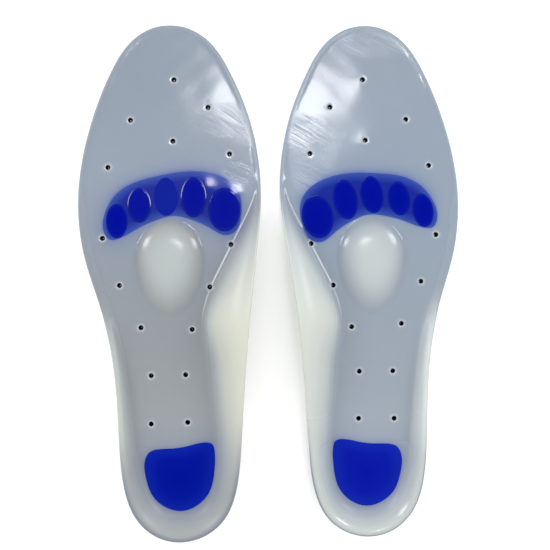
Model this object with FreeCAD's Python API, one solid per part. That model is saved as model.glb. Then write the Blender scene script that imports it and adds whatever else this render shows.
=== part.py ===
import FreeCAD, Part
import math
import os

# A pair of moulded gel insoles lying on their flat undersides, millimetres, +Z up.
# Each insole is worked out in its own frame: +X towards the big toe side, +Y towards the toes.
# The left one is then moved to -X, and the right one is its mirror image at +X.
# The forefoot insert is laid into each mould by hand, so its turn differs from foot to foot.

# Placement of the pair
HALF_SPACING = 52.7
MIDDLE_Y = 2.3

# Gel moulding
WALL_DRAFT = 0.25
DRAFT_TOP_Z = 34.0
LIP_WIDTH = 1.8
VENT_DIAMETER = 2.5
VENT_FOOT_DIAMETER = 1.1

# Metatarsal dome, part of the gel moulding
DOME_X = -0.3
DOME_Y = 13.5
DOME_HEIGHT = 5.2
DOME_HALF_WIDTH = 18.0
DOME_FRONT = 20.5
DOME_REAR = 30.0
DOME_FULLNESS = 3.4

# Blue inserts
WEB_THICKNESS = 1.2
WEB_CENTRE_Y = 41.0
WEB_TURN_LEFT = 4.25
WEB_TURN_RIGHT = -4.25
INSERT_FLOOR_Z = 0.9
TOOL_HEIGHT = 12.0
RING_SPANS = 5
POD_RISE = 0.6
POD_ROUNDING = 0.5
POD_LEAN = -5.0
HEEL_CENTRE = (3.6, -99.5)

# Height field sampling: (x start, x step, columns, y start, y step, rows)
WHOLE_BED = (-64.0, 2.0, 65, -147.0, 3.0, 101)
FOREFOOT = (-50.0, 2.5, 41, 10.0, 2.5, 25)

# Upper edge of the gel, from the toe tip down the big toe side and back up the outer side
OUTLINE = [
    (1.5, 135.8), (12.0, 133.8), (21.5, 127.6), (32.4, 111.4), (41.8, 88.4), (46.8, 64.5),
    (47.5, 42.0), (45.0, 18.5), (41.7, -8.0), (38.9, -35.0), (36.9, -62.0), (35.3, -86.0),
    (32.3, -107.0), (25.6, -121.2), (14.0, -129.4), (2.5, -131.2), (-9.2, -127.7),
    (-19.0, -118.0), (-24.7, -101.5), (-26.9, -78.0), (-28.2, -54.0), (-31.2, -31.0),
    (-37.6, -7.0), (-44.2, 15.0), (-47.2, 39.0), (-45.3, 63.0), (-38.8, 88.4),
    (-29.4, 111.4), (-18.4, 127.6), (-8.5, 134.0),
]

# Stations along the insole: (y, value)
BED_THICKNESS = [(150, 2.2), (120, 2.3), (80, 2.9), (45, 3.4), (0, 4.2), (-40, 5.0), (-75, 5.9), (-150, 5.9)]
INNER_EDGE_Z = [
    (150, 2.2), (80, 2.9), (54, 3.4), (42, 6.5), (26, 13.0), (8, 19.0), (-12, 23.5),
    (-28, 24.0), (-50, 21.0), (-80, 17.0), (-110, 14.5), (-150, 14.0),
]
OUTER_EDGE_Z = [
    (150, 2.2), (80, 2.9), (45, 3.4), (10, 4.0), (-12, 5.0), (-25, 8.0), (-50, 11.0),
    (-80, 13.0), (-110, 14.0), (-150, 14.0),
]
INNER_RIM_WIDTH = [
    (150, 3.0), (50, 3.0), (40, 5.8), (26, 11.3), (10, 17.4), (-2, 21.8), (-16, 24.3),
    (-32, 22.0), (-55, 18.0), (-80, 14.0), (-110, 12.0), (-150, 12.5),
]
OUTER_RIM_WIDTH = [(150, 3.0), (0, 5.0), (-25, 6.0), (-60, 6.8), (-90, 8.5), (-115, 12.0), (-150, 12.5)]

# Web that joins the metatarsal pods, in its own frame before it is turned
WEB_OUTLINE = [
    (37.4, 41.5), (35.2, 48.3), (29.5, 53.8), (20.5, 57.4), (9.0, 58.7), (-6.0, 57.3),
    (-18.5, 54.6), (-27.6, 49.2), (-33.4, 40.8), (-35.2, 32.5), (-32.6, 26.8), (-25.5, 27.3),
    (-17.0, 31.2), (-7.5, 34.6), (2.0, 36.0), (11.0, 33.2), (20.5, 27.8), (28.5, 23.7),
    (33.6, 25.8), (36.6, 32.5),
]
# Pods from the little toe side to the big toe side: (x, y, half width, half length)
PODS = [
    (-27.7, 35.9, 5.6, 9.0), (-15.5, 43.2, 6.0, 9.1), (-1.3, 46.4, 6.2, 9.9),
    (12.9, 45.0, 6.6, 10.6), (28.3, 37.2, 8.4, 11.4),
]
# D-shaped heel insert
HEEL_INSERT_OUTLINE = [
    (-14.4, -90.5), (-12.2, -86.4), (-7.5, -84.8), (0.2, -84.5), (8.6, -83.3), (16.4, -81.8),
    (20.3, -82.6), (21.8, -87.0), (21.5, -96.5), (18.8, -107.5), (12.8, -114.2), (4.3, -117.2),
    (-4.0, -115.0), (-10.6, -109.0), (-13.9, -100.0),
]
# Vent holes
VENTS = [
    (3.2, 107.2), (20.7, 92.8), (-19.6, 86.2), (2.2, 75.2), (31.6, 68.4), (-31.5, 61.7),
    (-34.8, 25.0), (31.7, 21.0), (20.4, -1.0), (-26.4, 0.4), (-15.6, -21.7), (10.9, -23.0),
    (-10.6, -46.6), (7.2, -46.5), (-10.9, -71.6), (8.0, -71.2),
]

vec = FreeCAD.Vector
UP = vec(0, 0, 1)


def closed_curve(points, z=0.0):
    curve = Part.BSplineCurve()
    curve.interpolate([vec(x, y, z) for x, y in points], PeriodicFlag=True)
    return curve


def split_ring(points, z):
    # The closed curve as a wire of equal spans, so that each wall face above it is a simple one.
    curve = closed_curve(points, z)
    first = curve.FirstParameter
    step = (curve.LastParameter - first) / RING_SPANS
    return Part.Wire([curve.toShape(first + i * step, first + (i + 1) * step) for i in range(RING_SPANS)])


def along(stations, y):
    # Smooth curve through the stations, which run from the toes to the heel.
    if y >= stations[0][0]:
        return float(stations[0][1])
    if y <= stations[-1][0]:
        return float(stations[-1][1])
    i = 0
    while y < stations[i + 1][0]:
        i += 1
    y0, v0 = stations[i]
    y1, v1 = stations[i + 1]
    slope = []
    for j in (i, i + 1):
        a = stations[max(j - 1, 0)]
        b = stations[min(j + 1, len(stations) - 1)]
        slope.append((b[1] - a[1]) / (b[0] - a[0]))
    h = y1 - y0
    u = (y - y0) / h
    start = (1 + 2 * u) * (1 - u) ** 2 * v0 + u * (1 - u) ** 2 * h * slope[0]
    end = u * u * (3 - 2 * u) * v1 - u * u * (1 - u) * h * slope[1]
    return start + end


def ease(u):
    u = min(max(u, 0.0), 1.0)
    return u * u * (3 - 2 * u)


OUTLINE_CURVE = closed_curve(OUTLINE)
EDGE_SAMPLES = OUTLINE_CURVE.discretize(Number=241)[:-1]


def edge_distance(x, y):
    # Distance inwards from the upper edge of the gel, or 0 outside it.
    inside = False
    best = 1e9
    a = EDGE_SAMPLES[-1]
    for b in EDGE_SAMPLES:
        ex = b.x - a.x
        ey = b.y - a.y
        u = ((x - a.x) * ex + (y - a.y) * ey) / (ex * ex + ey * ey)
        u = min(max(u, 0.0), 1.0)
        best = min(best, (x - a.x - u * ex) ** 2 + (y - a.y - u * ey) ** 2)
        if (a.y > y) != (b.y > y) and x < a.x + (y - a.y) * ex / ey:
            inside = not inside
        a = b
    return math.sqrt(best) if inside else 0.0


def inner_share(x, y):
    # 0 on the outer side of the insole, 1 on the big toe side.
    return ease((x - 1.5) / 16.0 + 0.5)


def edge_z(x, y):
    share = inner_share(x, y)
    return along(OUTER_EDGE_Z, y) * (1 - share) + along(INNER_EDGE_Z, y) * share


def dome_height(x, y):
    reach = DOME_FRONT if y > DOME_Y else DOME_REAR
    r = math.hypot((x - DOME_X) / DOME_HALF_WIDTH, (y - DOME_Y) / reach)
    if r >= 1:
        return 0.0
    fade = 0.8 + 0.9 * ease((DOME_Y + 12 - y) / 34.0)
    return DOME_HEIGHT * (1 - r ** DOME_FULLNESS) ** fade


def bed_height(x, y):
    # The footbed with its rims, without the dome.
    bed = along(BED_THICKNESS, y)
    share = inner_share(x, y)
    width = along(OUTER_RIM_WIDTH, y) * (1 - share) + along(INNER_RIM_WIDTH, y) * share
    v = (width - edge_distance(x, y)) / (width - LIP_WIDTH)
    v = min(max(v, 0.0), 1.0)
    # The arch meets the bed in a crease with a full shoulder, the heel cup in a soft hollow.
    crease = share * ease((y + 42) / 24.0)
    shoulder = 0.24 * (1 - (1 - v) ** 5) + 0.76 * math.sin(v * math.pi / 2) ** 1.2
    hollow = ease(v)
    rise = shoulder * crease + hollow * (1 - crease)
    return bed + (edge_z(x, y) - bed) * rise


def top_height(x, y):
    return bed_height(x, y) + dome_height(x, y)


def gel_blank():
    # Drafted side wall that passes through the upper edge at its own height.
    curve = OUTLINE_CURVE
    low = []
    high = []
    for x, y in OUTLINE:
        tangent = curve.tangent(curve.parameter(vec(x, y, 0)))[0]
        outward = vec(-tangent.y, tangent.x, 0)
        z = edge_z(x, y)
        low.append(vec(x, y, 0) - outward * (WALL_DRAFT * z))
        high.append(vec(x, y, 0) + outward * (WALL_DRAFT * (DRAFT_TOP_Z - z)))
    wires = []
    for points, z in ((low, 0.0), (high, DRAFT_TOP_Z)):
        ring = closed_curve([(p.x, p.y) for p in points], z)
        wires.append(Part.Wire(ring.toShape()))
    return Part.makeLoft(wires, True, True)


def under_surface(grid, height):
    # Everything below the surface of this height.
    x0, dx, columns, y0, dy, rows = grid
    heights = []
    for i in range(columns):
        heights.append([height(x0 + i * dx, y0 + j * dy) for j in range(rows)])
    surface = Part.BSplineSurface()
    surface.interpolate(heights, x0, dx, y0, dy)
    return surface.toShape().extrude(UP * -60.0)


def lifted(shape, height):
    copy = shape.copy()
    copy.translate(UP * height)
    return copy


def column(ring):
    # A straight column up from a flat ring at the inserts' floor.
    return Part.Face(ring).extrude(UP * TOOL_HEIGHT)


def pod_column(pod, turn):
    x, y, half_width, half_length = pod
    ring = Part.Wire(Part.Ellipse(vec(0, 0, 0), half_length, half_width).toShape())
    ring.rotate(vec(0, 0, 0), UP, 90 + POD_LEAN)
    ring.translate(vec(x, y, INSERT_FLOOR_Z))
    ring.rotate(vec(0, WEB_CENTRE_Y, 0), UP, turn)
    return column(ring)


def flat_topped(tool, z, rounding):
    # The plug up to a flat top, with its upper edge rounded over.
    piece = tool.common(Part.makeBox(200, 300, z + 5, vec(-100, -150, -5))).Solids[0]
    if rounding == 0:
        return piece
    rim = [edge for edge in piece.Edges if edge.BoundBox.ZMin > z - 0.01]
    return piece.makeFillet(rounding, rim)


def turned_centre(pod, turn):
    centre = vec(pod[0], pod[1] - WEB_CENTRE_Y, 0)
    a = math.radians(turn)
    x = centre.x * math.cos(a) - centre.y * math.sin(a)
    y = centre.x * math.sin(a) + centre.y * math.cos(a)
    return x, y + WEB_CENTRE_Y


def vent_pin(x, y):
    # The mould's pin tapers from the upper surface down to the underside, and passes both.
    height = top_height(x, y)
    taper = (VENT_DIAMETER - VENT_FOOT_DIAMETER) / 2 / height
    foot = VENT_FOOT_DIAMETER / 2
    return Part.makeCone(foot - taper, foot + taper * (height + 3), height + 4, vec(x, y, -1))


def insole(blank, forefoot, turn):
    parts = {}
    ring = split_ring(WEB_OUTLINE, INSERT_FLOOR_Z)
    ring.rotate(vec(0, WEB_CENTRE_Y, 0), UP, turn)
    web_tool = column(ring).cut(lifted(forefoot, -WEB_THICKNESS))
    web = web_tool.common(forefoot)
    gel = blank.cut(web_tool)
    for number, pod in enumerate(PODS):
        tool = pod_column(pod, turn)
        web = web.cut(tool)
        gel = gel.cut(tool)
        crown = top_height(*turned_centre(pod, turn)) + POD_RISE
        parts["metatarsal_pod_%d" % (number + 1)] = flat_topped(tool, crown, POD_ROUNDING)
    tool = column(split_ring(HEEL_INSERT_OUTLINE, INSERT_FLOOR_Z))
    gel = gel.cut(tool)
    parts["heel_insert"] = flat_topped(tool, top_height(*HEEL_CENTRE), 0)
    for x, y in VENTS:
        gel = gel.cut(vent_pin(x, y))
    parts["forefoot_web"] = web
    parts["gel_body"] = gel
    return parts


os.makedirs("parts", exist_ok=True)

blank = gel_blank().common(under_surface(WHOLE_BED, top_height))
forefoot = under_surface(FOREFOOT, bed_height)

for side, turn in (("left", WEB_TURN_LEFT), ("right", WEB_TURN_RIGHT)):
    for name, shape in insole(blank, forefoot, turn).items():
        shape.translate(vec(-HALF_SPACING, -MIDDLE_Y, 0))
        if side == "right":
            shape = shape.mirror(vec(0, 0, 0), vec(1, 0, 0))
        shape.Solids[0].exportStep("parts/%s_%s.step" % (side, name))
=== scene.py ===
import math

import bmesh
import bpy
import numpy as np
from mathutils import Euler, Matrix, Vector
from mathutils.geometry import delaunay_2d_cdt


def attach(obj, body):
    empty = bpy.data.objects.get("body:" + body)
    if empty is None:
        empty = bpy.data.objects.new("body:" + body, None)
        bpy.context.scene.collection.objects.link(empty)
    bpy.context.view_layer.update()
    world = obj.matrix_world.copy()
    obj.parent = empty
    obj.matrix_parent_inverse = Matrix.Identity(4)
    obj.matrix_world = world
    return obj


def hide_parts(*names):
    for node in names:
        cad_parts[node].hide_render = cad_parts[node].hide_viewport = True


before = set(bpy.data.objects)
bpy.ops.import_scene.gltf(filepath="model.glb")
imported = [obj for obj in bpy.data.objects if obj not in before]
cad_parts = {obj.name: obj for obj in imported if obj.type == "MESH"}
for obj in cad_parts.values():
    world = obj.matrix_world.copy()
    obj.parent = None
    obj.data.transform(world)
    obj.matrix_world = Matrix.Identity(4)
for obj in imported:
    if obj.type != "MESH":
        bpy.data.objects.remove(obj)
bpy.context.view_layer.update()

# Each insole is worked out in its own frame in millimetres: +X to the big toe side, +Y to the toes.
# It is the same moulding as in the CAD, with its edges rounded and its soft parts filled out.
MM = 0.001
HALF_SPACING = 52.7
MIDDLE_Y = 2.3
WALL_DRAFT = 0.25
LIP_WIDTH = 1.8
LIP_RADIUS = 0.9
FOOT_RADIUS = 0.4
VENT_RADIUS = 1.25
VENT_FOOT_RADIUS = 0.3
VENT_ROUNDING = 0.4
DOME_X, DOME_Y, DOME_HEIGHT = -0.3, 13.5, 5.2
DOME_HALF_WIDTH, DOME_FRONT, DOME_REAR = 18.0, 20.5, 30.0
# The dome's surface, colour and satin: its fullness, its fade at the front, and the rest of it behind
DOME_SKIN, DOME_TONE, DOME_SATIN = (3.4, 0.8, 0.9), (2.6, 0.7, 0.3), (4.0, 0.5, 0.9)
# Where that rest of the fade starts, and how far it takes to the heel
DOME_REAR_FADE = (DOME_Y + 12, 34)
# The rims of the two sides blend into each other across this line, over this width.
MIDDLE_X, RIM_BLEND = 1.5, 16.0
# The arch folds up from the bed ahead of this place, over this length.
ARCH_FOLD = (-42, 24)
WEB_THICKNESS = 1.2
WEB_CENTRE_Y = 41.0
WEB_TURN = {"left": 4.25, "right": -4.25}
INSERT_FLOOR_Z = 0.9
POD_LEAN = -5.0
HEEL_CENTRE = (3.6, -99.5)
HEEL_CROWN, HEEL_ROUNDING = 0.15, 0.12
CREASE_RADIUS = 0.8
CREASE_ENDS_Y = (45.0, -22.0)
SWELL_HEIGHT, SWELL_REACH = 0.27, 7.0
WAVE_HEIGHT = 0.035
POD_CROWN = 0.05
# For pods 1 to 5: how far the rounded rim stands up, how strong the painted highlight on it is, and how deep
# the pod lies.
POD_ROUNDING = {"left": (0.1, 0.8, 0.1, 0.9, 0.55), "right": (0.1, 0.1, 0.1, 0.1, 0.1)}
POD_PAINTED_GLINT = {"left": (0.0, 1.0, 0.0, 1.0, 0.0), "right": (0.0, 0.0, 0.0, 0.0, 0.0)}
POD_DEPTH = {"left": (0.0, 0.0, 1.0, 0.0, 0.0), "right": (0.0, 0.0, 0.0, 0.0, 0.0)}
# Low bulges of the poured gel: (x, y, radius, height), and the vents whose gel stands up round them.
BULGES = {"left": [(19.5, 50.5, 4.5, 0.42), (33.0, 47.0, 5.0, 0.48)], "right": []}
SWOLLEN_VENTS = {"left": [], "right": [(3.2, 107.2), (2.2, 75.2)]}
# Places rubbed by packing and handling: (x, y, half width, half length, strength)
RUBS = {
    "left": [(31.0, 86.0, 12.0, 8.0, 0.8), (12.5, 89.0, 6.0, 12.0, 0.2), (36.0, 58.0, 8.0, 6.0, 0.6)],
    "right": [(32.0, 79.0, 16.0, 9.0, 1.0), (-5.0, 126.5, 16.0, 7.0, 0.8), (33.5, 56.0, 7.0, 10.0, 0.8)],
}

# Mesh spacing in millimetres, and the counts of points round each vent and each pod.
FINE, QUICK_FINE = 0.9, 1.4
LOOP_SPACING = 0.9
CREASE_SPACING = 0.7
CREASE_ROWS = (-0.7, -0.35, 0.35, 0.7)
# How far the crease stays from the upper edge, the web and the vents, and other points from it
LIP_CLEARANCE, WEB_CLEARANCE, VENT_CLEARANCE = 1.0, 0.8, 0.6
ROW_CLEARANCE, LATTICE_CLEARANCE = 0.4, 1.0
CREASE_SHORTEST = 12
# The lattice is dense this far past the rims' foot, at most this deep, and only heelward of this place.
DENSE_RIM, DENSE_DEEPEST, DENSE_END_Y = 2.5, 14, 60
# It is dense near the edge and the outlines, and in an oval round the dome: middle, half width and length.
DENSE_EDGE, DENSE_LOOP, DENSE_OVAL = 3.0, 4.0, (10, 23, 34)
# Its points keep this share of their spacing away from the outlines.
KEEP_OFF = 0.45
SAME_PLACE, NO_AREA = 1e-5, 1e-7
SPLINE_SAMPLES = 32
BATCH = 2000
EDGE_SPACING = 1.0
UNDERSIDE_SPACING = 9
UNDERSIDE_EDGE_CLEARANCE, UNDERSIDE_VENT_CLEARANCE = 3, 2
# Rings of the vents' rounded mouth and of the rounded lip
MOUTH_RINGS, LIP_RINGS = 4, 5
# A vent's wall has rings at these shares of its height, and the outer wall at these shares of the way down.
VENT_WALL_RINGS = (0.7, 0.35, 0.0)
OUTER_WALL_RINGS = (0.2, 0.4, 0.6, 0.8, 1.0)
FOOT_ANGLES = (math.pi / 6, math.pi / 3, math.pi / 2)
# Rings of an insert's top, out to where its edge rounds over, and the rings of that rounding
CROWN_RINGS = (0.15, 0.3, 0.45, 0.6, 0.75, 0.87, 0.95, 1.0)
EDGE_RINGS = 5
VENT_SIDES = 24
POD_SIDES = 56
LATTICE_START = (-55, -140)
LATTICE_SPAN = (110, 290)
HEX_ROW = 0.866
SHARP_ANGLE = 50
# The look attributes of every mesh point; rim carries painted shade, and pale carries painted highlights and
# painted light.
LOOKS = ("thick", "halo", "rim", "pale", "dull", "rub")

# Looks of each side. The glow and the gloss differ as in any two castings; the painted shade, painted light
# and painted crease highlight differ between the sides too.
HEEL_PAINTED_SHADE = {"left": 0.75, "right": 0.08}
OUTER_PAINTED_SHADE = {"left": 0.16, "right": 0.0}
OUTER_PAINTED_LIGHT = {"left": 0.0, "right": 0.4}
WEB_GLOW = {"left": 0.45, "right": 0.12}
CREASE_PAINTED_GLINT = {"left": 1.0, "right": 0.9}
WEB_SMOOTH = {"left": 0.14, "right": 0.07}
POD_SMOOTH = 0.07
HEEL_SMOOTH = 0.07
LIP_SATIN = 0.9
# The vents' mouth: its painted highlight, what that loses from ring to ring, and its satin
MOUTH_PAINTED_HIGHLIGHT, MOUTH_PAINTED_HIGHLIGHT_LOST, MOUTH_SATIN = 0.35, 0.07, 0.8
# An insert's rim that is lower than this is flush, and its edge shows no bright line.
FLUSH = 0.2
# Finish of the clear gel: roughness, what the dull attribute adds to it, and the bump's strength
GEL_FINISH = {"smooth": 0.11, "satin": 0.28, "strength": 0.35}
BLUE_BUMP = 0.06
BLUE_GLOSS, BLUE_GLOSS_LOST = 0.5, 0.45
SCATTER_SHARE, SCATTER_LENGTH = 0.35, 0.0012
BUMP_DEPTH = 0.0001
# Scratches: their angle, how closely they lie, and the part of the noise that shows
RUBBED_SCRATCHES = (28, 2600.0, (0.50, 0.70))
STRAY_SCRATCHES = (-64, 3100.0, (0.56, 0.74))
SCRATCH_LENGTH_SCALE = 45.0
SCRATCH_ROUGHNESS = 0.14
SCRATCH_FROSTING = 0.30
SWAY_SCALE, SWAY = 22.0, 0.010
WORN_SCALE, WORN_SHARE = 30.0, 0.12
SPECK_SCALE = 130.0
GRAIN_SCALE, GRAIN_SHARE = 420.0, 0.25
# Shown colour of the clear gel by its thickness in millimetres.
GEL_TONES = {
    "left": [
        (2.4, (153, 164, 178)), (3.2, (158, 169, 183)), (4.1, (154, 163, 172)), (4.7, (157, 163, 168)),
        (5.5, (163, 168, 172)), (9.5, (195, 202, 202)), (13.0, (214, 217, 208)), (24.0, (224, 226, 212)),
    ],
    "right": [
        (2.4, (158, 169, 184)), (3.2, (156, 170, 186)), (4.1, (157, 170, 184)), (4.7, (161, 172, 184)),
        (5.5, (166, 176, 187)), (9.5, (204, 212, 213)), (13.0, (214, 221, 217)), (24.0, (220, 225, 216)),
    ],
}
HALO_TONE = (84, 104, 180)
# Painted shade on the rims and the heel's wall mixes toward this tone.
RIM_SHADE_TONE = (140, 147, 158)
# Painted highlights and painted light mix toward this tone, as does the pale frost of the scratches.
GLINT_AND_FROST_TONE = (236, 241, 243)
# Shown colour of the web by its distance in from its outline, in centimetres.
WEB_TONES = [(0.0, (64, 88, 172)), (0.12, (52, 76, 168)), (0.26, (42, 64, 161)), (0.5, (26, 42, 151))]
# Shown colour of the pods and of the heel insert from the middle to the edge.
POD_TONES = [(0.0, (2, 14, 150)), (0.8, (4, 17, 151)), (1.0, (18, 34, 150))]
HEEL_TONES = {
    "left": [(0.0, (2, 18, 150)), (0.6, (4, 22, 154)), (1.0, (14, 38, 166))],
    "right": [(0.0, (8, 22, 163)), (0.6, (12, 27, 166)), (1.0, (20, 42, 174))],
}
# Base colours are this much darker than the shown ones, because the studio's light is brighter than 1.
ALBEDO_GAIN = 0.635
THICKEST = 25.0
BLACK = (0.0, 0.0, 0.0, 1.0)
WHITE = (1.0, 1.0, 1.0, 1.0)

# Studio: the camera in millimetres, degrees and frame widths, and the lights in metres and watts
CAMERA_PLACE = (-23.7, 6.7, 450.0)
CAMERA_TURN = (-0.5, -3.28, -0.76)
CAMERA_FOCAL = 1.5502
SENSOR_WIDTH = 36.0
SKY_DIFFUSE = 1.3
SKY_GLOSS = 0.04
FLOOR_HALF_SIZE = 4
LIGHT_AIM = (0.02, 0.10, 0.0)
# Each window pane's place, size, power and spin
PANES = {
    "left": ((0.020, 0.372, 1.2), (0.13, 0.10), 0.78, -25.0),
    "right": ((0.136, 0.349, 1.2), (0.113, 0.148), 0.88, -22.0),
}
BANK_PLACE = (1.18, 0.67, 0.84)
BANK_SIZE = (0.5, 0.5)
BANK_POWER = 7.5

# Upper edge of the gel, from the toe tip down the big toe side and back up the outer side
OUTLINE = [
    (1.5, 135.8), (12.0, 133.8), (21.5, 127.6), (32.4, 111.4), (41.8, 88.4), (46.8, 64.5),
    (47.5, 42.0), (45.0, 18.5), (41.7, -8.0), (38.9, -35.0), (36.9, -62.0), (35.3, -86.0),
    (32.3, -107.0), (25.6, -121.2), (14.0, -129.4), (2.5, -131.2), (-9.2, -127.7),
    (-19.0, -118.0), (-24.7, -101.5), (-26.9, -78.0), (-28.2, -54.0), (-31.2, -31.0),
    (-37.6, -7.0), (-44.2, 15.0), (-47.2, 39.0), (-45.3, 63.0), (-38.8, 88.4),
    (-29.4, 111.4), (-18.4, 127.6), (-8.5, 134.0),
]
# Stations along the insole: (y, value), from the toes to the heel.
BED_THICKNESS = [(150, 2.2), (120, 2.3), (80, 2.9), (45, 3.4), (0, 4.2), (-40, 5.0), (-75, 5.9), (-150, 5.9)]
INNER_EDGE_Z = [
    (150, 2.2), (80, 2.9), (54, 3.4), (42, 6.5), (26, 13.0), (8, 19.0), (-12, 23.5),
    (-28, 24.0), (-50, 21.0), (-80, 17.0), (-110, 14.5), (-150, 14.0),
]
OUTER_EDGE_Z = [
    (150, 2.2), (80, 2.9), (45, 3.4), (10, 4.0), (-12, 5.0), (-25, 8.0), (-50, 11.0),
    (-80, 13.0), (-110, 14.0), (-150, 14.0),
]
INNER_RIM_WIDTH = [
    (150, 3.0), (50, 3.0), (40, 5.8), (26, 11.3), (10, 17.4), (-2, 21.8), (-16, 24.3),
    (-32, 22.0), (-55, 18.0), (-80, 14.0), (-110, 12.0), (-150, 12.5),
]
OUTER_RIM_WIDTH = [(150, 3.0), (0, 5.0), (-25, 6.0), (-60, 6.8), (-90, 8.5), (-115, 12.0), (-150, 12.5)]
WEB_OUTLINE = [
    (37.4, 41.5), (35.2, 48.3), (29.5, 53.8), (20.5, 57.4), (9.0, 58.7), (-6.0, 57.3),
    (-18.5, 54.6), (-27.6, 49.2), (-33.4, 40.8), (-35.2, 32.5), (-32.6, 26.8), (-25.5, 27.3),
    (-17.0, 31.2), (-7.5, 34.6), (2.0, 36.0), (11.0, 33.2), (20.5, 27.8), (28.5, 23.7),
    (33.6, 25.8), (36.6, 32.5),
]
PODS = [
    (-27.7, 35.9, 5.6, 9.0), (-15.5, 43.2, 6.0, 9.1), (-1.3, 46.4, 6.2, 9.9),
    (12.9, 45.0, 6.6, 10.6), (28.3, 37.2, 8.4, 11.4),
]
HEEL_INSERT_OUTLINE = [
    (-14.4, -90.5), (-12.2, -86.4), (-7.5, -84.8), (0.2, -84.5), (8.6, -83.3), (16.4, -81.8),
    (20.3, -82.6), (21.8, -87.0), (21.5, -96.5), (18.8, -107.5), (12.8, -114.2), (4.3, -117.2),
    (-4.0, -115.0), (-10.6, -109.0), (-13.9, -100.0),
]
VENTS = [
    (3.2, 107.2), (20.7, 92.8), (-19.6, 86.2), (2.2, 75.2), (31.6, 68.4), (-31.5, 61.7),
    (-34.8, 25.0), (31.7, 21.0), (20.4, -1.0), (-26.4, 0.4), (-15.6, -21.7), (10.9, -23.0),
    (-10.6, -46.6), (7.2, -46.5), (-10.9, -71.6), (8.0, -71.2),
]


def closed_spline(points, spacing):
    """Evenly spaced points on the smooth closed curve through these points."""
    p = np.array(points, float)
    n = len(p)
    after = np.roll(p, -1, 0)
    h = np.linalg.norm(after - p, axis=1)
    slope = (after - p) / h[:, None]
    matrix = np.zeros((n, n))
    for i in range(n):
        matrix[i, i - 1] += h[i - 1]
        matrix[i, i] += 2 * (h[i - 1] + h[i])
        matrix[i, (i + 1) % n] += h[i]
    bend = np.linalg.solve(matrix, 6 * (slope - np.roll(slope, 1, 0)))
    u = np.linspace(0, 1, SPLINE_SAMPLES + 1)[:-1, None]
    parts = []
    for i in range(n):
        j = (i + 1) % n
        a = 1 - u
        curve = a * p[i] + u * p[j]
        parts.append(curve + h[i] ** 2 / 6 * ((a ** 3 - a) * bend[i] + (u ** 3 - u) * bend[j]))
    dense = np.concatenate(parts + [p[:1]])
    run = np.concatenate([[0], np.cumsum(np.linalg.norm(np.diff(dense, axis=0), axis=1))])
    count = int(round(run[-1] / spacing))
    at = np.linspace(0, run[-1], count + 1)[:-1]
    return np.stack([np.interp(at, run, dense[:, 0]), np.interp(at, run, dense[:, 1])], 1)


def ellipse(pod, turn):
    """Outline of a pod, leaning a little and turned with its web."""
    x, y, a, b = pod
    t = np.linspace(0, 2 * math.pi, POD_SIDES, endpoint=False)
    ring = np.stack([a * np.cos(t), b * np.sin(t)], 1)
    return turned(rotated(ring, POD_LEAN) + (x, y), turn)


def rotated(points, degrees):
    c, s = math.cos(math.radians(degrees)), math.sin(math.radians(degrees))
    return np.asarray(points) @ np.array([[c, s], [-s, c]])


def turned(points, degrees):
    """Points turned with the web about its centre."""
    return rotated(np.asarray(points) - (0, WEB_CENTRE_Y), degrees) + (0, WEB_CENTRE_Y)


def outward(loop):
    """Unit normals of a closed loop, pointing out of it."""
    tangent = np.roll(loop, -1, 0) - np.roll(loop, 1, 0)
    normal = np.stack([tangent[:, 1], -tangent[:, 0]], 1)
    after = np.roll(loop, -1, 0)
    area = (loop[:, 0] * after[:, 1] - loop[:, 1] * after[:, 0]).sum()
    return normal / np.linalg.norm(normal, axis=1)[:, None] * (1 if area > 0 else -1)


def distance(points, line, closed=True):
    """Distance from each point to a line of points."""
    a = line if closed else line[:-1]
    b = np.roll(line, -1, 0) if closed else line[1:]
    e = b - a
    best = np.empty(len(points))
    for k in range(0, len(points), BATCH):
        q = points[k:k + BATCH, None, :] - a[None]
        u = np.clip((q * e).sum(2) / (e * e).sum(1), 0, 1)
        best[k:k + BATCH] = np.sqrt(((q - u[..., None] * e) ** 2).sum(2).min(1))
    return best


def inside(points, loop):
    """Whether each point lies inside a closed loop."""
    a, b = loop, np.roll(loop, -1, 0)
    found = np.zeros(len(points), bool)
    for k in range(0, len(points), BATCH):
        x, y = points[k:k + BATCH, 0:1], points[k:k + BATCH, 1:2]
        crosses = (a[:, 1] > y) != (b[:, 1] > y)
        rise = np.where(b[:, 1] == a[:, 1], 1.0, b[:, 1] - a[:, 1])
        left = x < a[:, 0] + (y - a[:, 1]) * (b[:, 0] - a[:, 0]) / rise
        found[k:k + BATCH] = (crosses & left).sum(1) % 2 == 1
    return found


def along(stations, y):
    """Smooth curve through the stations."""
    s = np.array(stations[::-1], float)
    ys, vs = s[:, 0], s[:, 1]
    slope = np.empty(len(s))
    slope[1:-1] = (vs[2:] - vs[:-2]) / (ys[2:] - ys[:-2])
    slope[0] = (vs[1] - vs[0]) / (ys[1] - ys[0])
    slope[-1] = (vs[-1] - vs[-2]) / (ys[-1] - ys[-2])
    i = np.clip(np.searchsorted(ys, y) - 1, 0, len(s) - 2)
    h = ys[i + 1] - ys[i]
    u = np.clip((y - ys[i]) / h, 0, 1)
    start = (1 + 2 * u) * (1 - u) ** 2 * vs[i] + u * (1 - u) ** 2 * h * slope[i]
    return start + u * u * (3 - 2 * u) * vs[i + 1] - u * u * (1 - u) * h * slope[i + 1]


def ease(u):
    u = np.clip(u, 0, 1)
    return u * u * (3 - 2 * u)


def toeward(y, start, length):
    """Eases from 0 to 1 over a length that starts at one place and runs to the toes."""
    return ease((y - start) / length)


def heelward(y, start, length):
    """Eases from 0 to 1 over a length that starts at one place and runs to the heel."""
    return ease((start - y) / length)


EDGE = closed_spline(OUTLINE, EDGE_SPACING)


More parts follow.
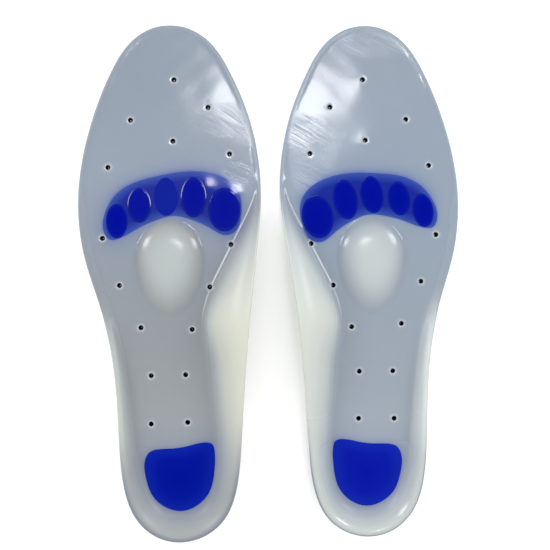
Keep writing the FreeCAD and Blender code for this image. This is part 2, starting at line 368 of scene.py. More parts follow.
def rim(x, y):
    """Height of the upper edge and width of the rim that rises to it."""
    share = ease((x - MIDDLE_X) / RIM_BLEND + 0.5)
    z = along(OUTER_EDGE_Z, y) * (1 - share) + along(INNER_EDGE_Z, y) * share
    width = along(OUTER_RIM_WIDTH, y) * (1 - share) + along(INNER_RIM_WIDTH, y) * share
    return z, width, share


def dome_height(x, y, fullness, fade, rear):
    """Height of the dome. It falls off by fade at its front, and by rear more at its back."""
    reach = np.where(y > DOME_Y, DOME_FRONT, DOME_REAR)
    r = np.clip(np.hypot((x - DOME_X) / DOME_HALF_WIDTH, (y - DOME_Y) / reach), 0, 1)
    return DOME_HEIGHT * (1 - r ** fullness) ** (fade + rear * heelward(y, *DOME_REAR_FADE))


def bed_height(points, edge_gap):
    """Footbed with its rims. edge_gap is each point's distance in from the upper edge."""
    x, y = points[:, 0], points[:, 1]
    bed = along(BED_THICKNESS, y)
    z, width, share = rim(x, y)
    v = (width - edge_gap) / (width - LIP_WIDTH)
    crease = share * toeward(y, *ARCH_FOLD)
    soft = CREASE_RADIUS / width
    v = np.clip(0.5 * (v + np.sqrt(v * v + soft * soft)), 0, 1)
    shoulder = 0.24 * (1 - (1 - v) ** 5) + 0.76 * np.sin(v * math.pi / 2) ** 1.2
    rise = shoulder * crease + ease(v) * (1 - crease)
    return bed + (z - bed) * rise


def skin(points, edge_gap, side):
    """The upper surface with the slight unevenness of a hand-poured gel."""
    x, y = points[:, 0], points[:, 1]
    z = bed_height(points, edge_gap) + dome_height(x, y, *DOME_SKIN)
    wave = np.sin(x * 0.21 + y * 0.07 + 0.4) * np.sin(y * 0.13 - x * 0.05 + 1.1)
    wave = wave + 0.5 * np.sin(x * 0.37 - y * 0.16) * np.sin(y * 0.29 + 0.7)
    z = z + WAVE_HEIGHT * wave
    for vx, vy in SWOLLEN_VENTS[side]:
        z = z + SWELL_HEIGHT * np.exp(-np.hypot(x - vx, y - vy) / SWELL_REACH)
    for bx, by, radius, height in BULGES[side]:
        z = z + height * np.exp(-((x - bx) ** 2 + (y - by) ** 2) / radius ** 2)
    return z


def rubbed(points, side):
    """How strongly each place is rubbed, 0 to 1."""
    x, y = points[:, 0], points[:, 1]
    found = np.zeros(len(points))
    for rx, ry, half_width, half_length, strength in RUBS[side]:
        r = np.hypot((x - rx) / half_width, (y - ry) / half_length)
        found = np.maximum(found, strength * np.exp(-r ** 4))
    return found


def crease_line():
    """The valley where the arch leaves the bed."""
    ys = np.linspace(*CREASE_ENDS_Y, 400)
    xs = []
    for y in ys:
        row = np.stack([np.linspace(0, 50, 501), np.full(501, y)], 1)
        row = row[inside(row, EDGE)]
        gap = distance(row, EDGE) - rim(row[:, 0], row[:, 1])[1]
        xs.append(row[np.argmax(gap < 0), 0])
    return np.stack([xs, ys], 1)


CREASE = crease_line()


def lattice(fine, loops):
    """A hex lattice that is twice as dense where the surface bends."""
    rows = np.arange(int(LATTICE_SPAN[1] / (fine * HEX_ROW)))
    columns = np.arange(int(LATTICE_SPAN[0] / fine))
    r, c = np.meshgrid(rows, columns, indexing="ij")
    x = LATTICE_START[0] + (c + 0.5 * (r % 2)) * fine
    y = LATTICE_START[1] + r * fine * HEX_ROW
    coarse = (r % 2 == 0) & ((c + r // 2) % 2 == 0)
    points = np.stack([x.ravel(), y.ravel()], 1)
    coarse = coarse.ravel()
    keep = inside(points, EDGE)
    points, coarse = points[keep], coarse[keep]
    gap = distance(points, EDGE)
    width = rim(points[:, 0], points[:, 1])[1]
    dense = (gap < np.minimum(width + DENSE_RIM, DENSE_DEEPEST)) & (points[:, 1] < DENSE_END_Y)
    dense |= gap < DENSE_EDGE
    middle_y, half_width, half_length = DENSE_OVAL
    across, ahead = (points[:, 0] - DOME_X) / half_width, (points[:, 1] - middle_y) / half_length
    dense |= across ** 2 + ahead ** 2 < 1
    near = np.full(len(points), np.inf)
    for loop, closed in loops:
        near = np.minimum(near, distance(points, loop, closed))
    dense |= near < DENSE_LOOP
    keep = (dense | coarse) & (near > KEEP_OFF * fine) & (gap > LIP_RADIUS + KEEP_OFF * fine)
    return points[keep]


def triangulated(points, loops):
    """Triangles over points and loops. Each loop is (points, closed). The loops' points come first."""
    verts, edges = [], []
    for loop, closed in loops:
        first = len(verts)
        verts += [Vector(p) for p in loop]
        edges += [(first + i, first + i + 1) for i in range(len(loop) - 1)]
        if closed:
            edges.append((first + len(loop) - 1, first))
    verts += [Vector(p) for p in points]
    found = delaunay_2d_cdt(verts, edges, [], 0, SAME_PLACE)
    places = np.array([tuple(v) for v in found[0]])
    source = np.array([ids[0] if ids else -1 for ids in found[3]])
    faces = np.array([tuple(f) for f in found[2]])
    a, b, c = (places[faces[:, k]] for k in range(3))
    area = (b[:, 0] - a[:, 0]) * (c[:, 1] - a[:, 1]) - (b[:, 1] - a[:, 1]) * (c[:, 0] - a[:, 0])
    faces[area < 0] = faces[area < 0][:, ::-1]
    return places, source, faces[np.abs(area) > NO_AREA]


class Mesh:
    """Collects points with their look attributes, and faces.

    thick is the gel's thickness, or the place across a blue piece. halo mixes in its blue, rim mixes in
    painted shade, pale mixes in painted highlights and painted light, dull takes gloss away, and rub
    scratches. All but thick run from 0 to 1.
    """

    def __init__(self):
        self.points, self.faces, self.slots = [], [], []
        self.values = {key: [] for key in LOOKS}

    def add(self, points, thick=4.0, halo=0.0, rim=0.0, pale=0.0, dull=0.0, rub=0.0):
        first = len(self.points)
        n = len(points)
        self.points += [tuple(p) for p in points]
        for key, value in zip(LOOKS, (thick, halo, rim, pale, dull, rub)):
            self.values[key] += list(np.broadcast_to(value, n))
        return np.arange(first, first + n)

    def face(self, corners, slot=0):
        self.faces.append(tuple(int(c) for c in corners))
        self.slots.append(slot)

    def bridge(self, a, b, slot=0):
        """Quads between two closed rings of the same count."""
        n = len(a)
        for i in range(n):
            j = (i + 1) % n
            self.face((a[i], a[j], b[j], b[i]), slot)

    def build(self, name, side, materials):
        """Makes the object, with the right insole as the mirror image of the left one."""
        sign = -1 if side == "right" else 1
        co = np.array(self.points, float)
        co[:, 0] = sign * (co[:, 0] - HALF_SPACING)
        co[:, 1] -= MIDDLE_Y
        data = bpy.data.meshes.new(name)
        data.from_pydata((co * MM).tolist(), [], self.faces)
        for key, values in self.values.items():
            layer = data.attributes.new(key, "FLOAT", "POINT")
            layer.data.foreach_set("value", np.array(values, np.float32))
        for material in materials:
            data.materials.append(material)
        data.polygons.foreach_set("material_index", self.slots)
        obj = bpy.data.objects.new(name, data)
        bpy.context.scene.collection.objects.link(obj)
        close(data)
        data.shade_smooth()
        data.set_sharp_from_angle(angle=math.radians(SHARP_ANGLE))
        return obj


def close(data):
    """Turns every face outwards."""
    bm = bmesh.new()
    bm.from_mesh(data)
    bmesh.ops.recalc_face_normals(bm, faces=bm.faces)
    bm.to_mesh(data)
    bm.free()


class Plan:
    """The outlines of one insole, seen from above."""

    def __init__(self, turn):
        spin = np.linspace(0, 2 * math.pi, VENT_SIDES, endpoint=False)
        self.circle = np.stack([np.cos(spin), np.sin(spin)], 1)
        self.lip = EDGE - outward(EDGE) * LIP_RADIUS
        self.web = turned(closed_spline(WEB_OUTLINE, LOOP_SPACING), turn)
        self.heel = closed_spline(HEEL_INSERT_OUTLINE, LOOP_SPACING)
        self.pods = [ellipse(pod, turn) for pod in PODS]
        self.vents = [self.circle * (VENT_RADIUS + VENT_ROUNDING) + v for v in VENTS]
        self.creases = self.crease_runs()
        closed = [self.lip, self.web, self.heel] + self.pods + self.vents
        self.loops = [(loop, True) for loop in closed] + [(line, False) for line in self.creases]
        self.first_vent = len(closed) - len(self.vents)

    def crease_runs(self):
        """The crease in pieces, cut where it meets a vent, the web or the upper edge."""
        free = distance(CREASE, self.lip) > LIP_CLEARANCE
        free &= ~inside(CREASE, self.web) & (distance(CREASE, self.web) > WEB_CLEARANCE)
        for loop in self.vents:
            free &= distance(CREASE, loop) > VENT_CLEARANCE
            free &= ~inside(CREASE, loop)
        changes = np.where(np.diff(free.astype(int)) != 0)[0] + 1
        runs = []
        for run, flag in zip(np.split(CREASE, changes), np.split(free, changes)):
            if flag[0] and len(run) > CREASE_SHORTEST:
                steps = np.linalg.norm(np.diff(run, axis=0), axis=1)
                length = np.concatenate([[0], np.cumsum(steps)])
                at = np.linspace(0, length[-1], int(length[-1] / CREASE_SPACING))
                runs.append(np.stack([np.interp(at, length, run[:, k]) for k in (0, 1)], 1))
        return runs

    def points(self, fine):
        """The lattice, with extra rows beside the crease that hold its small radius."""
        points = lattice(fine, self.loops[1:])
        for line in self.creases:
            step = np.gradient(line, axis=0)
            across = np.stack([step[:, 1], -step[:, 0]], 1) / np.linalg.norm(step, axis=1)[:, None]
            beside = np.concatenate([line + across * s for s in CREASE_ROWS])
            for loop in [self.web, self.lip] + self.vents:
                beside = beside[distance(beside, loop) > ROW_CLEARANCE]
            points = points[distance(points, line, False) > LATTICE_CLEARANCE]
            points = np.concatenate([points, beside])
        return points

    def regions(self, middles):
        """The piece at each place: 0 gel, 1 web, 2 to 6 pods, 7 heel insert, -1 none."""
        region = np.full(len(middles), -1)
        for number, loop in enumerate([self.lip, self.web] + self.pods + [self.heel]):
            region[inside(middles, loop)] = number
        for loop in self.vents:
            region[inside(middles, loop)] = -1
        return region

    def first(self, number):
        """Where the points of one of the loops start."""
        return sum(len(loop) for loop, _ in self.loops[:number])


def gel_thickness(x, y, places, gap):
    """Thickness as it shows. Light spreads inside the gel, so the dome fades more gently."""
    bed = along(BED_THICKNESS, y)
    flange = 1 - 0.5 * toeward(y, -22, 24)
    tone = bed + (bed_height(places, gap) - bed) * flange
    return np.maximum(tone + dome_height(x, y, *DOME_TONE), 0)


def heel_bowl(y):
    return heelward(y, -70, 25)


def heel_side(y):
    return heelward(y, -60, 50)


def satin_parts(side, y, gap, width, dome):
    """The dome, the rims and the heel bowl are satin. The right heel's ring stays glossy."""
    band = 2.0 + (width - 1.0) * heelward(y, 55, 20)
    ring = ease((band - gap) / (0.6 + 0.25 * band))
    bowl = heel_bowl(y)
    if side == "right":
        ring = ring * (1 - heelward(y, -60, 20))
        bowl = bowl * ease((gap - 3) / 6)
    return np.max([0.4 * dome, ring, bowl], axis=0)


def blue_halo(side, plan, places, dome):
    """Blue that shines through the clear gel beside the inserts, furthest ahead of the web."""
    ahead = toeward(places[:, 1], 34, 16)
    web_gap = distance(places, plan.web)
    heel_gap = distance(places, plan.heel)
    close_by = (0.5 + 0.22 * ahead) * np.exp(-web_gap / (0.7 + 1.6 * ahead))
    glow = WEB_GLOW[side] * np.exp(-web_gap / 3.5) * np.clip(1 - 3 * dome, 0, 1)
    at_heel = 0.35 * np.exp(-heel_gap / 1.6) + 0.16 * np.exp(-heel_gap / 9)
    return np.max([close_by, glow, at_heel], axis=0)


def painted_rim_shade(side, y, gap, outer):
    """Painted shade: grey along the heel's rim with a darker line at its edge, and faintly along the whole
    outer rim.
    """
    shade = HEEL_PAINTED_SHADE[side] * np.clip(1.3 * np.exp(-gap / 7.4), 0, 1)
    shade = np.clip(shade + 0.5 * np.exp(-(gap / 1.3) ** 2), 0, 1) * heel_side(y)
    return np.maximum(shade, OUTER_PAINTED_SHADE[side] * outer)


def painted_light_parts(side, plan, places, outer):
    """Painted highlights round the vents and in the crease, mostly between its vents, and painted light on
    the outer rim.
    """
    y = places[:, 1]
    vent_gap = np.min([np.hypot(*(places - v).T) for v in VENTS], axis=0) - VENT_RADIUS
    pale = MOUTH_PAINTED_HIGHLIGHT * np.exp(-(np.clip(vent_gap - VENT_ROUNDING, 0, 9) / 0.6) ** 2)
    middle = toeward(y, -95, 25) * heelward(y, 0, 25)
    # Painted light along the outer rim.
    pale = np.maximum(pale, OUTER_PAINTED_LIGHT[side] * outer * middle)
    # A painted highlight along the crease.
    between = toeward(y, -3, 3) * heelward(y, 23, 3)
    painted_glint = CREASE_PAINTED_GLINT[side] * (0.65 + 0.35 * between) * toeward(y, -22, 14)
    for line in plan.creases:
        pale = np.maximum(pale, painted_glint * np.exp(-(distance(places, line, False) / 0.3) ** 2))
    return pale


def surface_looks(side, plan, places, gap):
    """The look attributes of the upper face's points, one row each, in the order of LOOKS."""
    x, y = places.T
    _, width, share = rim(x, y)
    outer = (1 - share) * ease((width + 2 - gap) / 5)
    dome = np.clip(dome_height(x, y, *DOME_SATIN) / DOME_HEIGHT, 0, 1)
    return np.array([
        gel_thickness(x, y, places, gap),
        blue_halo(side, plan, places, dome),
        painted_rim_shade(side, y, gap, outer),
        painted_light_parts(side, plan, places, outer),
        satin_parts(side, y, gap, width, dome),
        rubbed(places, side),
    ])


def upper_faces(gel, faces, region, vertex):
    """The upper face, with walls where it steps down into the web's recess and the pockets."""
    sides = {}
    for f, r in zip(faces, region):
        if r < 0:
            continue
        gel.face([vertex(i, r) for i in f])
        for k in range(3):
            a, b = int(f[k]), int(f[(k + 1) % 3])
            sides.setdefault((min(a, b), max(a, b)), []).append((a, b, r))
    for users in sides.values():
        if len(users) == 2 and users[0][2] != users[1][2]:
            a, b, r = users[0]
            other = users[1][2]
            gel.face((vertex(b, r), vertex(a, r), vertex(a, other), vertex(b, other)))


def vent_wall(gel, circle, centre, before, z):
    """A rounded mouth with a painted highlight, and a tapering wall painted dark for shade. Returns the ring
    at the foot and its outline.
    """
    for k in range(1, MOUTH_RINGS + 1):
        a = k / MOUTH_RINGS * math.pi / 2
        r = VENT_RADIUS + VENT_ROUNDING * (1 - math.sin(a))
        now = circle * r + centre
        drop = z - VENT_ROUNDING * (1 - math.cos(a))
        spots = np.column_stack([now, drop])
        ring = gel.add(spots, z, pale=MOUTH_PAINTED_HIGHLIGHT - MOUTH_PAINTED_HIGHLIGHT_LOST * k, dull=MOUTH_SATIN)
        gel.bridge(before, ring)
        before = ring
    for share in VENT_WALL_RINGS:
        now = circle * (VENT_FOOT_RADIUS + (VENT_RADIUS - VENT_FOOT_RADIUS) * share) + centre
        ring = gel.add(np.column_stack([now, (z - VENT_ROUNDING) * share]), z)
        gel.bridge(before, ring, 1)
        before = ring
    return ring, now


def outer_wall(gel, before, z, painted_wall_shade, satin):
    """The rounded lip, the drafted wall and its rounded foot. Returns the last ring and outline."""
    away = outward(EDGE)
    rings = []
    for k in range(1, LIP_RINGS + 1):
        a = k / LIP_RINGS * math.pi / 2
        now = EDGE + away * LIP_RADIUS * (math.sin(a) - 1)
        rings.append((now, z - LIP_RADIUS * (1 - math.cos(a))))
    for share in OUTER_WALL_RINGS:
        low = (z - LIP_RADIUS) * (1 - share) + FOOT_RADIUS * share
        now = EDGE - away * (WALL_DRAFT * (z - LIP_RADIUS - low))[:, None]
        rings.append((now, low))
    for a in FOOT_ANGLES:
        low = np.full(len(now), FOOT_RADIUS * (1 - math.sin(a)))
        under = now - away * FOOT_RADIUS * (1 - math.cos(a))
        rings.append((under, low))
    for outline, height in rings:
        ring = gel.add(np.column_stack([outline, height]), z, 0, painted_wall_shade, dull=satin)
        gel.bridge(before, ring)
        before = ring
    return ring, under


def underside(gel, rings):
    """The flat base, between the foot of the wall and the feet of the vents."""
    step = UNDERSIDE_SPACING
    grid = np.mgrid[-50:51:step, -132:136:step].reshape(2, -1).T.astype(float)
    outer, holes = rings[0][1], [loop for _, loop in rings[1:]]
    grid = grid[inside(grid, outer) & (distance(grid, outer) > UNDERSIDE_EDGE_CLEARANCE)]
    for loop in holes:
        grid = grid[distance(grid, loop) > UNDERSIDE_VENT_CLEARANCE]
    flat, source, faces = triangulated(grid, [(loop, True) for _, loop in rings])
    middles = flat[faces].mean(1)
    keep = inside(middles, outer)
    for loop in holes:
        keep &= ~inside(middles, loop)
    shared = np.concatenate([ring for ring, _ in rings])
    where = {}
    for k, s in enumerate(source):
        where[k] = shared[s] if 0 <= s < len(shared) else gel.add([(*flat[k], 0.0)])[0]
    for f in faces[keep]:
        gel.face([where[int(i)] for i in f[::-1]])


def web_plate(side, plan, places, faces, height, materials):
    """The plate between the web's outline and the pods, which shares their walls."""
    web = Mesh()
    edge_gap = distance(places, plan.web)
    levels = {}

    def corner(i, level):
        if (i, level) not in levels:
            x, y = places[i]
            z = height[i] - level * WEB_THICKNESS
            levels[i, level] = web.add([(x, y, z)], edge_gap[i] / 10)[0]
        return levels[i, level]

    walls = {}
    for f in faces:
        web.face([corner(i, 0) for i in f])
        web.face([corner(i, 1) for i in f[::-1]])
        for k in range(3):
            a, b = int(f[k]), int(f[(k + 1) % 3])
            walls[min(a, b), max(a, b)] = walls.get((min(a, b), max(a, b)), 0) + 1
    for (a, b), uses in walls.items():
        if uses == 1:
            web.face((corner(a, 0), corner(b, 0), corner(b, 1), corner(a, 1)))
    return web.build(side + "_forefoot_web_skin", side, materials)


def gel_and_web(side, turn, gel_materials, web_materials):
    """The gel body with its pockets, and the web that lies in one of them."""
    plan = Plan(turn)
    fine = FINE
    places, source, faces = triangulated(plan.points(fine), plan.loops)
    region = plan.regions(places[faces].mean(1))
    gap = distance(places, EDGE)
    height = skin(places, gap, side)
    looks = surface_looks(side, plan, places, gap)
    gel = Mesh()
    known = {}

    def vertex(i, r):
        if (i, r) not in known:
            x, y = places[i]
            z = height[i]
            if r == 1:
                z -= WEB_THICKNESS
            elif r > 1:
                z = INSERT_FLOOR_Z
            known[i, r] = gel.add([(x, y, z)], *looks[:, i])[0]
        return known[i, r]

    upper_faces(gel, faces, region, vertex)
    of_source = {int(s): k for k, s in enumerate(source) if s >= 0}

    def loop_ids(number):
        start = plan.first(number)
        return [of_source[start + i] for i in range(len(plan.loops[number][0]))]

    feet = []
    for number, centre in enumerate(VENTS):
        ids = loop_ids(plan.first_vent + number)
        mouth = np.array([vertex(i, 0) for i in ids])
        feet.append(vent_wall(gel, plan.circle, centre, mouth, height[ids]))
    ids = loop_ids(0)
    y = places[ids, 1]
    satin = looks[LOOKS.index("dull")][ids]
    if side == "left":
        satin = np.maximum(satin, LIP_SATIN * (1 - heel_bowl(y)))
    top = np.array([vertex(i, 0) for i in ids])
    # The heel's lip and wall get painted shade.
    wall_foot = outer_wall(gel, top, height[ids], heel_side(y), satin)
    underside(gel, [wall_foot] + feet)
    body = gel.build(side + "_gel_body_skin", side, gel_materials)
    plate = web_plate(side, plan, places, faces[region == 1], height, web_materials)
    return body, plate


def cushion(name, side, loop, centre, crown, rounding, depth, painted_glint, materials):
    """A soft insert: a crowned top with a rounded edge over straight walls."""
    centre = np.array(centre)
    reach = np.linalg.norm(loop - centre, axis=1).mean()
    mesh = Mesh()
    hub = np.array([centre])
    top = skin(hub, distance(hub, EDGE), side)[0]
    # A flush rim is satin; a raised one gets a painted highlight on its two far sides.
    satin = 1.0 if rounding < FLUSH else 0.0
    east, north = (loop - centre).T
    bearing = np.arctan2(north, east)
    bright = painted_glint * np.cos(bearing) ** 2 * ease((np.sin(bearing) + 0.25) / 0.5)
    tip = mesh.add([(*centre, top + crown + rounding)], depth, dull=satin)[0]
    start = 1 - rounding / reach
    rings = [(share * start, 0.0) for share in CROWN_RINGS]
    for a in np.linspace(0, math.pi / 2, EDGE_RINGS + 1)[1:]:
        rings.append((start + (1 - start) * math.sin(a), rounding * (1 - math.cos(a))))
    before = None
    for share, drop in rings:
        ring_at = centre + (loop - centre) * share
        z = skin(ring_at, distance(ring_at, EDGE), side) + crown * (1 - share ** 2) + rounding - drop
        pale = bright * ease((drop - 0.02) / (0.3 * rounding))
        ring = mesh.add(np.column_stack([ring_at, z]), max(share, depth), pale=pale, dull=satin)
        if before is None:
            for i in range(len(ring)):
                mesh.face((tip, ring[i], ring[(i + 1) % len(ring)]))
        else:
            mesh.bridge(before, ring)
        before = ring
    ring = mesh.add(np.column_stack([loop, np.full(len(loop), INSERT_FLOOR_Z)]), 1.0, pale=bright)
    mesh.bridge(before, ring)
    floor = mesh.add([(*centre, INSERT_FLOOR_Z)], 0.0)[0]
    for i in range(len(ring)):
        mesh.face((floor, ring[(i + 1) % len(ring)], ring[i]))
    return mesh.build(name, side, materials)


def linear(colour, gain=ALBEDO_GAIN):
    """Linear base colour that shows as this 0 to 255 colour under the studio's light."""
    c = np.array(colour, float) / 255
    return tuple(gain * np.where(c <= 0.04045, c / 12.92, ((c + 0.055) / 1.055) ** 2.4)) + (1.0,)


class Shader:
    """A material with a Principled surface and short ways to add nodes."""

    def __init__(self, name):
        self.material = bpy.data.materials.new(name)
        self.material.use_nodes = True
        self.tree = self.material.node_tree
        self.surface = self.tree.nodes["Principled BSDF"]

    def set(self, **values):
        for key, value in values.items():
            self.surface.inputs[key.replace("_", " ")].default_value = value

    def node(self, kind, links=(), **values):
        made = self.tree.nodes.new("ShaderNode" + kind)
        for key, value in values.items():
            setattr(made, key, value)
        for socket, value in links:
            if isinstance(value, bpy.types.NodeSocket):
                self.tree.links.new(value, made.inputs[socket])
            else:
                made.inputs[socket].default_value = value
        return made

    def link(self, source, socket):
        self.tree.links.new(source, self.surface.inputs[socket])

    def attribute(self, name):
        return self.node("Attribute", attribute_name=name).outputs["Fac"]

    def ramp(self, value, stops):
        made = self.node("ValToRGB", [("Fac", value)])
        while len(made.color_ramp.elements) < len(stops):
            made.color_ramp.elements.new(0.5)
        for element, (at, colour) in zip(made.color_ramp.elements, stops):
            element.position = at
            element.color = colour
        return made.outputs["Color"]

    def mix(self, share, a, b, blend="MIX"):
        made = self.node("Mix", data_type="RGBA", blend_type=blend)
        for socket, value in (("Factor_Float", share), ("A_Color", a), ("B_Color", b)):
            spot = next(i for i in made.inputs if i.identifier == socket)
            if isinstance(value, bpy.types.NodeSocket):
                self.tree.links.new(value, spot)
            else:
                spot.default_value = value
        return next(o for o in made.outputs if o.identifier == "Result_Color")

    def maths(self, operation, a, b):
        made = self.node("Math", [(0, a), (1, b)], operation=operation)
        return made.outputs[0]

    def noise(self, place, scale, detail=2.0, output="Fac"):
        links = [("Vector", place), ("Scale", scale), ("Detail", detail)]
        return self.node("TexNoise", links).outputs[output]

    def scratches(self, place, angle, across, stops):
        """Fine lines along one direction, a few of them standing out from a stretched noise."""
        spun = self.node("Mapping", [("Vector", place), ("Rotation", (0, 0, math.radians(angle)))])
        scale = (SCRATCH_LENGTH_SCALE, across, SCRATCH_LENGTH_SCALE)
        stretched = self.node("Mapping", [("Vector", spun.outputs[0]), ("Scale", scale)])
        lines = self.noise(stretched.outputs[0], 1.0, 3.0)
        return self.ramp(lines, [(stops[0], BLACK), (stops[1], WHITE)])


def gel_finish(name, smooth, satin, strength):
    """Glossy gel with rubbed patches of fine scratches, a faint grain and a few specks.

    smooth is its roughness, satin is what the dull attribute adds to that, and strength is
    how far the marks stand out.
    """
    shader = Shader(name)
    flat = shader.node("TexCoord").outputs["Object"]
    bent = shader.noise(flat, SWAY_SCALE, 1.0, "Color")
    sway = shader.node("VectorMath", [(0, bent), ("Scale", SWAY)], operation="SCALE")
    place = shader.node("VectorMath", [(0, flat), (1, sway.outputs[0])], operation="ADD").outputs[0]
    worn = shader.ramp(shader.noise(flat, WORN_SCALE, 2.0), [(0.52, BLACK), (0.70, WHITE)])
    worn = shader.maths("MULTIPLY", worn, WORN_SHARE)
    wear = shader.maths("MAXIMUM", worn, shader.attribute("rub"))
    first = shader.maths("MULTIPLY", shader.scratches(place, *RUBBED_SCRATCHES), wear)
    second = shader.maths("MULTIPLY", shader.scratches(place, *STRAY_SCRATCHES), worn)
    shiny = shader.maths("SUBTRACT", 1.0, shader.attribute("dull"))
    marks = shader.maths("MULTIPLY", shader.maths("ADD", first, second), shiny)
    cells = shader.node("TexVoronoi", [("Vector", flat), ("Scale", SPECK_SCALE)]).outputs["Distance"]
    specks = shader.ramp(cells, [(0.03, WHITE), (0.06, BLACK)])
    grain = shader.maths("MULTIPLY", shader.noise(flat, GRAIN_SCALE), GRAIN_SHARE)
    height = shader.maths("ADD", shader.maths("ADD", marks, specks), grain)
    bump = shader.node("Bump", [("Strength", strength), ("Distance", BUMP_DEPTH), ("Height", height)])
    shader.link(bump.outputs["Normal"], "Normal")
    roughest = smooth + SCRATCH_ROUGHNESS
    rough = shader.node("MapRange", [("Value", marks), ("To Min", smooth), ("To Max", roughest)])
    dull = shader.maths("MULTIPLY", shader.attribute("dull"), satin)
    shader.link(shader.maths("ADD", rough.outputs["Result"], dull), "Roughness")
    return shader, shader.maths("MULTIPLY", marks, SCRATCH_FROSTING)


def gel_material(side):
    """Clear gel whose colour runs by its thickness, with the blue halo, painted shade, painted highlights
    and the scratches' frost mixed in.
    """
    shader, frosting = gel_finish(side + "_clear_gel", **GEL_FINISH)
    deep = shader.maths("DIVIDE", shader.attribute("thick"), THICKEST)
    colour = shader.ramp(deep, [(t / THICKEST, linear(c)) for t, c in GEL_TONES[side]])
    colour = shader.mix(shader.attribute("halo"), colour, linear(HALO_TONE))
    colour = shader.mix(shader.attribute("rim"), colour, linear(RIM_SHADE_TONE))
    colour = shader.mix(shader.attribute("pale"), colour, linear(GLINT_AND_FROST_TONE))
    colour = shader.mix(frosting, colour, linear(GLINT_AND_FROST_TONE))
    shader.link(colour, "Base Color")
    shader.set(Subsurface_Weight=SCATTER_SHARE, Subsurface_Scale=SCATTER_LENGTH)
    shader.set(Subsurface_Radius=(1.0, 1.0, 1.0))
    return shader.material


def blue_material(name, stops, smooth):
    """Blue gel whose colour runs by the thick attribute, with painted highlights mixed in and less gloss
    where it is dull.
    """
    shader, _ = gel_finish(name, smooth, 0.0, BLUE_BUMP)
    lost = shader.maths("MULTIPLY", shader.attribute("dull"), BLUE_GLOSS_LOST)
    shader.link(shader.maths("SUBTRACT", BLUE_GLOSS, lost), "Specular IOR Level")
    colour = shader.ramp(shader.attribute("thick"), [(at, linear(c)) for at, c in stops])
    colour = shader.mix(shader.attribute("pale"), colour, linear(GLINT_AND_FROST_TONE))
    shader.link(colour, "Base Color")
    return shader.material


def plain(name, colour, roughness):
    shader = Shader(name)
    shader.set(Base_Color=linear(colour, 1.0), Roughness=roughness)
    return shader.material


def area_light(name, place, aim, size, power, spin=0.0):
    """A rectangular light, spun in its own plane and then tilted to face its aim."""
    light = bpy.data.lights.new(name, "AREA")
    light.shape = "RECTANGLE"
    light.size, light.size_y = size
    light.energy = power
    obj = bpy.data.objects.new(name, light)
    obj.location = place
    across, ahead, down = (Vector(aim) - Vector(place)).normalized()
    obj.rotation_mode = "ZXY"
    obj.rotation_euler = (math.atan2(ahead, -down), -math.asin(across), math.radians(spin))
    bpy.context.scene.collection.objects.link(obj)
    return obj


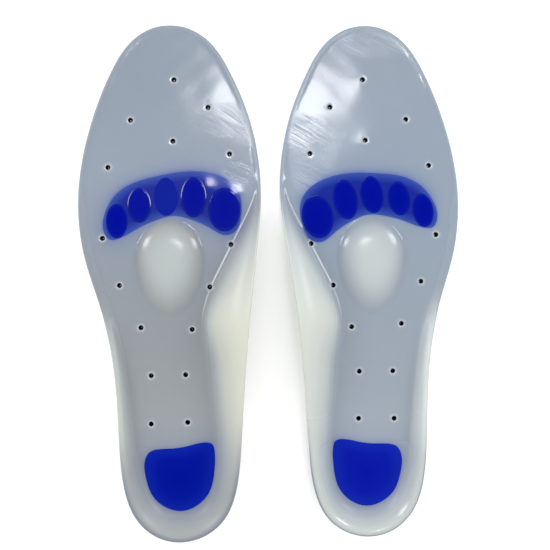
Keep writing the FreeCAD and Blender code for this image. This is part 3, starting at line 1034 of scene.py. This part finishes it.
def studio():
    """A pale floor, a white surround, two window panes and two banks of light."""
    half = FLOOR_HALF_SIZE
    corners = [(-half, -half, 0), (half, -half, 0), (half, half, 0), (-half, half, 0)]
    floor_mesh = bpy.data.meshes.new("floor")
    floor_mesh.from_pydata(corners, [], [(0, 1, 2, 3)])
    floor_mesh.materials.append(plain("floor_white", (250, 250, 250), 0.9))
    floor = bpy.data.objects.new("floor", floor_mesh)
    bpy.context.scene.collection.objects.link(floor)
    world = bpy.data.worlds.new("studio")
    world.use_nodes = True
    nodes, links = world.node_tree.nodes, world.node_tree.links
    # A bright tent for diffuse light, which shows only dimly as a reflection in the gloss.
    rays = nodes.new("ShaderNodeLightPath")
    strength = nodes.new("ShaderNodeMapRange")
    strength.inputs["To Min"].default_value = SKY_DIFFUSE
    strength.inputs["To Max"].default_value = SKY_GLOSS
    links.new(rays.outputs["Is Glossy Ray"], strength.inputs["Value"])
    links.new(strength.outputs["Result"], nodes["Background"].inputs["Strength"])
    nodes["Background"].inputs["Color"].default_value = WHITE
    bpy.context.scene.world = world
    # The panes show as glossy patches at the toes, and the banks stand to their sides.
    for side, (place, size, power, spin) in PANES.items():
        area_light("pane_" + side, place, LIGHT_AIM, size, power, spin)
    out, ahead, up = BANK_PLACE
    for side, x in (("left", -out), ("right", out)):
        area_light("bank_" + side, (x, ahead, up), (0, 0, 0), BANK_SIZE, BANK_POWER)


def camera():
    data = bpy.data.cameras.new("camera")
    data.sensor_width = SENSOR_WIDTH
    data.lens = CAMERA_FOCAL * SENSOR_WIDTH
    obj = bpy.data.objects.new("camera", data)
    obj.location = Vector(CAMERA_PLACE) * MM
    obj.rotation_euler = Euler([math.radians(a) for a in CAMERA_TURN], "XYZ")
    data.clip_start = 0.05
    bpy.context.scene.collection.objects.link(obj)
    bpy.context.scene.camera = obj


# The vents' walls are painted near black as shade.
shade_painted_vent_wall = plain("vent_painted_shade", (8, 9, 11), 0.7)
pod_skin = [blue_material("pod_gel", POD_TONES, POD_SMOOTH)]

for side, turn in WEB_TURN.items():
    web_skin = [blue_material(side + "_web_gel", WEB_TONES, WEB_SMOOTH[side])]
    body, plate = gel_and_web(side, turn, [gel_material(side), shade_painted_vent_wall], web_skin)
    made = [(body, "gel_body", "gel"), (plate, "forefoot_web", "web_gel")]
    for number, pod in enumerate(PODS):
        part = "metatarsal_pod_%d" % (number + 1)
        centre = turned([pod[:2]], turn)[0]
        shape = (POD_CROWN, POD_ROUNDING[side][number], POD_DEPTH[side][number], POD_PAINTED_GLINT[side][number])
        piece = cushion("%s_%s_skin" % (side, part), side, ellipse(pod, turn), centre, *shape, pod_skin)
        made.append((piece, part, "pod_gel"))
    loop = closed_spline(HEEL_INSERT_OUTLINE, LOOP_SPACING)
    heel_skin = [blue_material(side + "_heel_gel", HEEL_TONES[side], HEEL_SMOOTH)]
    shape = (HEEL_CROWN, HEEL_ROUNDING, 0.0, 0.0)
    piece = cushion(side + "_heel_insert_skin", side, loop, HEEL_CENTRE, *shape, heel_skin)
    made.append((piece, "heel_insert", "heel_gel"))
    for obj, part, slot in made:
        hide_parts(side + "_" + part)
        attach(obj, side + "_insole")

studio()
camera()
view = bpy.context.scene.view_settings
view.view_transform = "Standard"
view.look = "None"
view.exposure = 0.0
